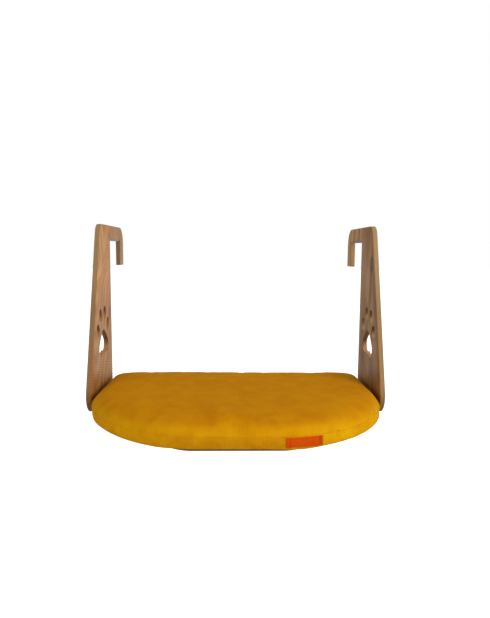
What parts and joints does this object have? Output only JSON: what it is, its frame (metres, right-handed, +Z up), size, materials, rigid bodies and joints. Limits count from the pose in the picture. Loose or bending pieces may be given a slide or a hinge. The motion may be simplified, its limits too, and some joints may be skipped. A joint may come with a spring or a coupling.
{
  "type": "pet radiator bed",
  "caption": "Hook-over radiator bed for a cat: two slanted wooden hangers with a cut-out, a tapered base panel and a loose D-shaped cushion in a zipped cover.",
  "frame": {"origin": "midway between the two hooks, on the line where their felt pads meet the radiator's top front edge", "axes": "+X along the radiator to the right as seen from the room, +Y from the room towards the wall, +Z up"},
  "size_m": [0.6, 0.539, 0.386],
  "materials": {
    "board_left": "oiled, satin",
    "board_right": "oiled, satin",
    "panel_wood": "oiled, satin",
    "hook_felt": "pressed felt",
    "zinc_steel": "zinc plated",
    "dowel_wood": "raw beech",
    "foam": "open-cell foam",
    "cover_fabric": "needlecord",
    "label_fabric": "woven tape",
    "zip_fabric": "woven tape",
    "zip_plastic": "nylon coil",
    "zip_metal": "antique brass"
  },
  "bodies": {
    "frame": {"hanger_left": "board_left", "hanger_right": "board_right", "hook_pad_left": "hook_felt", "hook_pad_right": "hook_felt", "base_panel": "panel_wood", "connector_bolts_left": "zinc_steel", "connector_bolts_right": "zinc_steel", "barrel_nuts_left": "zinc_steel", "barrel_nuts_right": "zinc_steel", "dowels_left": "dowel_wood", "dowels_right": "dowel_wood"},
    "cushion": {"cushion_core": "foam", "cover_top": "cover_fabric", "cover_band": "cover_fabric", "cover_bottom": "cover_fabric", "side_label": "label_fabric", "zip_tape_upper": "zip_fabric", "zip_tape_lower": "zip_fabric", "zip_coil_upper": "zip_plastic", "zip_coil_lower": "zip_plastic", "zip_stops": "zip_metal"},
    "slider": {"zip_slider": "zip_metal"},
    "pull": {"zip_pull": "zip_metal"}
  },
  "joints": [
    {"name": "cushion_lift", "type": "slide", "parent": "frame", "child": "cushion", "axis": [0, 0, 1], "range_m": [0, 0.15]},
    {"name": "zip_travel", "type": "slide", "parent": "cushion", "child": "slider", "axis": [-1, 0, 0], "range_m": [0, 0.385], "deforming": ["zip_coil_upper", "zip_coil_lower"]},
    {"name": "pull_swing", "type": "hinge", "parent": "slider", "child": "pull", "pos_m": [0.1912, -0.00402, -0.3317], "axis": [0, 0, 1], "range_deg": [-170, 0]}
  ]
}
